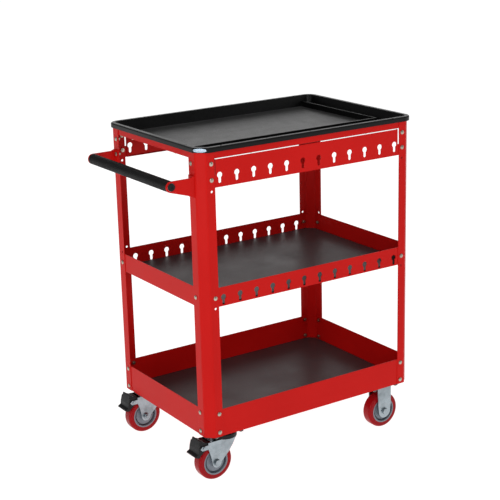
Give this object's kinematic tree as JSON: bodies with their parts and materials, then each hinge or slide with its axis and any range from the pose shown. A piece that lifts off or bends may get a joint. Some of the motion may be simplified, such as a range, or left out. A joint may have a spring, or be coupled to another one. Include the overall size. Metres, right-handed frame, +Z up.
{
  "type": "tool cart",
  "caption": "Three-level tool cart of bent sheet steel with a moulded top tray, keyhole hook panels, a push handle, braked swivel castors under the handle end and fixed castors at the far end.",
  "frame": {"origin": "on the floor, in the middle of the overall length and depth", "axes": "+X along the cart away from the handle, +Y from the badge side to the far long side, +Z up"},
  "size_m": [0.752, 0.468, 0.8905],
  "materials": {
    "red_paint": "glossy powder coat",
    "mat_rubber": "fine-textured shelf mat",
    "tray_plastic": "grained moulding",
    "badge_metal": "brushed, blank",
    "grip_rubber": "ribbed",
    "trim_plastic": "satin",
    "pedal_plastic": "satin moulding",
    "tread": "smooth cast tread",
    "wheel_core": "moulded",
    "plated_fasteners": "zinc plated",
    "dark_fasteners": "blackened",
    "bearing_steel": "ground",
    "zinc": "bright zinc plated pressing"
  },
  "bodies": {
    "frame": {"post_front_left": "red_paint", "post_front_right": "red_paint", "post_back_left": "red_paint", "post_back_right": "red_paint", "rail_front": "red_paint", "rail_back": "red_paint", "rail_left": "red_paint", "rail_right": "red_paint", "hook_panel_front": "red_paint", "hook_panel_back": "red_paint", "middle_shelf": "red_paint", "bottom_shelf": "red_paint", "middle_mat": "mat_rubber", "bottom_mat": "mat_rubber", "top_tray": "tray_plastic", "tray_badge": "badge_metal", "tray_screws": "plated_fasteners", "frame_bolts": "plated_fasteners", "frame_nuts": "plated_fasteners", "handle_bracket_front": "red_paint", "handle_bracket_back": "red_paint", "handle_tube": "zinc", "handle_grip": "grip_rubber", "handle_plugs": "trim_plastic", "handle_bolts": "plated_fasteners", "castor_bolts": "plated_fasteners", "castor_nuts": "dark_fasteners", "swivel_plate_front": "zinc", "swivel_plate_back": "zinc", "kingpin_front": "zinc", "kingpin_back": "zinc", "dust_ring_front": "trim_plastic", "dust_ring_back": "trim_plastic", "swivel_balls_front": "bearing_steel", "swivel_balls_back": "bearing_steel", "rigid_fork_front": "zinc", "rigid_fork_back": "zinc", "axle_rigid_front": "zinc", "axle_rigid_back": "zinc"},
    "swivel_front": {"swivel_fork_front": "zinc", "pedal_pin_front": "zinc", "axle_swivel_front": "zinc"},
    "brake_front": {"brake_pedal_front": "pedal_plastic"},
    "wheel_swivel_front": {"tyre_swivel_front": "tread", "core_swivel_front": "wheel_core", "bearings_swivel_front": "bearing_steel"},
    "wheel_rigid_front": {"tyre_rigid_front": "tread", "core_rigid_front": "wheel_core", "bearings_rigid_front": "bearing_steel"},
    "swivel_back": {"swivel_fork_back": "zinc", "pedal_pin_back": "zinc", "axle_swivel_back": "zinc"},
    "brake_back": {"brake_pedal_back": "pedal_plastic"},
    "wheel_swivel_back": {"tyre_swivel_back": "tread", "core_swivel_back": "wheel_core", "bearings_swivel_back": "bearing_steel"},
    "wheel_rigid_back": {"tyre_rigid_back": "tread", "core_rigid_back": "wheel_core", "bearings_rigid_back": "bearing_steel"}
  },
  "joints": [
    {"name": "swivel_front_turn", "type": "hinge", "parent": "frame", "child": "swivel_front", "pos_m": [-0.223, -0.188, 0.116], "axis": [0, 0, 1], "continuous": true},
    {"name": "wheel_swivel_front_roll", "type": "hinge", "parent": "swivel_front", "child": "wheel_swivel_front", "pos_m": [-0.261, -0.188, 0.05], "axis": [0, 1, 0], "continuous": true},
    {"name": "brake_front_press", "type": "hinge", "parent": "swivel_front", "child": "brake_front", "pos_m": [-0.297, -0.188, 0.099], "axis": [0, -1, 0], "range_deg": [0, 12]},
    {"name": "wheel_rigid_front_roll", "type": "hinge", "parent": "frame", "child": "wheel_rigid_front", "pos_m": [0.299, -0.188, 0.05], "axis": [0, 1, 0], "continuous": true},
    {"name": "swivel_back_turn", "type": "hinge", "parent": "frame", "child": "swivel_back", "pos_m": [-0.223, 0.188, 0.116], "axis": [0, 0, 1], "continuous": true},
    {"name": "wheel_swivel_back_roll", "type": "hinge", "parent": "swivel_back", "child": "wheel_swivel_back", "pos_m": [-0.261, 0.188, 0.05], "axis": [0, 1, 0], "continuous": true},
    {"name": "brake_back_press", "type": "hinge", "parent": "swivel_back", "child": "brake_back", "pos_m": [-0.297, 0.188, 0.099], "axis": [0, -1, 0], "range_deg": [0, 12]},
    {"name": "wheel_rigid_back_roll", "type": "hinge", "parent": "frame", "child": "wheel_rigid_back", "pos_m": [0.299, 0.188, 0.05], "axis": [0, 1, 0], "continuous": true}
  ]
}
